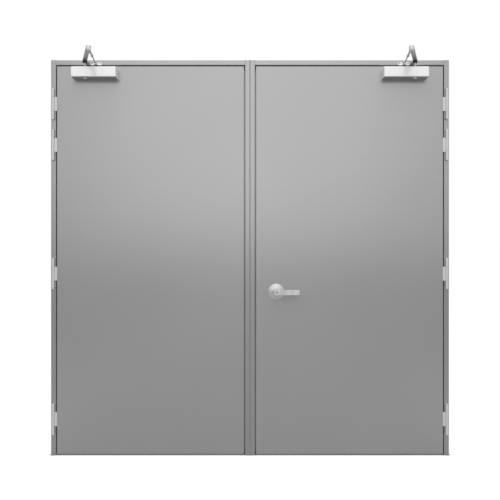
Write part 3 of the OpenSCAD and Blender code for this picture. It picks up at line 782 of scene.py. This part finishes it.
def dress_closers():
    """Cast bodies with end plates and valve screws, arms with their screws, and shoes with theirs."""
    for side, sign in SIDES:
        body, arm, forearm, shoe, spindle = (f"{side}_closer_body", f"{side}_main_arm", f"{side}_forearm",
                                             f"{side}_closer_shoe", f"{side}_closer_spindle")
        eased(body, 1.0 * MM, 3)
        eased(arm, 1.2 * MM, 3, finish=finishes["main_arm"])
        eased(forearm, 1.0 * MM, 3)
        eased(shoe, 1.4 * MM, 3, finish=finishes["closer_silver"])
        eased(spindle, 0.4 * MM, 2)
        leaf = f"{side}_leaf"
        low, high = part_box(body)
        axle = middle(spindle)
        end_y, end_z = (low.y + high.y) / 2, 2073.5 * MM
        valves = []
        for end_x, way in ((low.x, -1), (high.x, 1)):
            for dy, dz in ((-14, 12), (-14, -12)):
                valves.append(((end_x, end_y + dy * MM, end_z + dz * MM), (way, 0, 0)))
        screws(f"{side}_closer_valves", leaf, valves, 7 * MM, 0.8 * MM, 3 * MM)
        arm_low, arm_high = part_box(arm)
        arm_top = arm_high.z - 2 * MM
        screws(f"{side}_arm_screw", f"{side}_main_arm", [((axle.x, axle.y, arm_top), (0, 0, 1))],
               13 * MM, 3 * MM, 6 * MM)
        screws(f"{side}_pinion_screw", leaf, [((axle.x, axle.y, low.z), (0, 0, -1))],
               13 * MM, 1 * MM, 6 * MM)
        shoe_low, shoe_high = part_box(shoe)
        shoe_mid = (shoe_low.x + shoe_high.x) / 2
        plate_front = shoe_high.y - 4 * MM
        spots = [((shoe_mid + dx * MM, plate_front, shoe_low.z + 10 * MM), (0, -1, 0)) for dx in (-23, 23)]
        screws(f"{side}_shoe_screws", "frame", spots, 8.5 * MM, 1.6 * MM, 4 * MM)


def dress_lock():
    """The roses, levers, key cylinder with its keyway, and the plates in the edges with their screws."""
    for node, way in (("outside_rose", -1), ("inside_rose", 1)):
        low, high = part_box(node)
        foot_y = high.y if way < 0 else low.y
        radius = (high.x - low.x) / 2
        hole, height, rim = 12.1 * MM, high.y - low.y, 3.4 * MM
        outline = [(hole, 0), (radius, 0), (radius, rim - 1.2 * MM)]
        outline += [(radius - 1.2 * MM * (1 - math.cos(a)), rim + 1.2 * MM * (math.sin(a) - 1))
                    for a in (math.radians(30 * k) for k in range(1, 4))]
        outline += [(radius * share, rim + (height - rim) * (1 - share ** 2)) for share in (0.93, 0.85, 0.75, 0.6, 0.45)]
        outline.append((hole, height))
        mesh = turned(outline, (middle(node).x, foot_y, middle(node).z), (0, way, 0), 96, True)
        stand_in(node, finished(mesh, [("WEIGHTED_NORMAL", {"keep_sharp": True})]), finishes["rose_satin"])
    for node in ("outside_lever", "inside_lever"):
        eased(node, 1.4 * MM, 4)
    low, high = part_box("key_cylinder")
    mid = middle("key_cylinder")
    slot = bmesh.new()
    bmesh.ops.create_cube(slot, size=1.0, matrix=Matrix.LocRotScale(
        Vector((mid.x, low.y, mid.z)), None, Vector((1.7 * MM, 2.2 * MM, 7.5 * MM))))
    data = bpy.data.meshes.new("keyway")
    slot.to_mesh(data)
    slot.free()
    cutter = bpy.data.objects.new("keyway", data)
    scene.collection.objects.link(cutter)
    eased("key_cylinder", 0.4 * MM, 2, 28.0, [cutter])
    bpy.data.objects.remove(cutter)
    eased("latch_plate", 0.4 * MM, 2)
    eased("strike_plate", 0.4 * MM, 2)
    low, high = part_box("strike_plate")
    mid_y, mid_z = (low.y + high.y) / 2, (low.z + high.z) / 2
    screws("strike_screws", "frame",
           [((high.x, mid_y, mid_z + dz * MM), (1, 0, 0)) for dz in (-45, 45)], 8 * MM, 0.6 * MM, 4 * MM)
    low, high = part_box("latch_plate")
    mid_y, mid_z = (low.y + high.y) / 2, (low.z + high.z) / 2
    edge = Vector((-1.0, 3.0 / 45.0, 0)).normalized()
    screws("latch_screws", "right_leaf",
           [((32.5 * MM + 1.5 * MM, mid_y, mid_z + dz * MM), edge) for dz in (-21, 21)], 6.5 * MM, 0.5 * MM, 3.2 * MM)


def add_silencers():
    """Three rubber bumpers on each mullion stop, which the closing leaf meets."""
    for side, sign in SIDES:
        stop_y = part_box(f"{side}_push_skin")[1].y + 5 * MM
        stop_x = sign * 35.5 * MM
        bumps = [turned([(4.5 * MM, -0.2 * MM), (4.8 * MM, 1.5 * MM), (4.4 * MM, 3.2 * MM), (3.0 * MM, 4.3 * MM), (0, 4.6 * MM)],
                        (stop_x, stop_y, z), (0, -1, 0), 24) for z in (0.35, 1.06, 1.78)]
        piece = add_piece(f"{side}_silencers", joined(bumps), "frame", [SILENCER])
        piece.data.shade_smooth()


dress_cad_nodes()
dress_hinges()
dress_closers()
dress_lock()
add_silencers()
set_camera()
set_world()
set_floor()
set_lamp("key", KEY_PLACE, KEY_AIM, KEY_SIZE, KEY_POWER, mirrored=False)
set_lamp("front", FRONT_PLACE, FRONT_AIM, FRONT_SIZE, FRONT_POWER, mirrored=False)
set_lamp("fill", FILL_PLACE, FILL_AIM, FILL_SIZE, FILL_POWER, mirrored=False)
set_lamp("back", BACK_PLACE, BACK_AIM, BACK_SIZE, BACK_POWER, mirrored=False)
scene.view_settings.view_transform = "Standard"
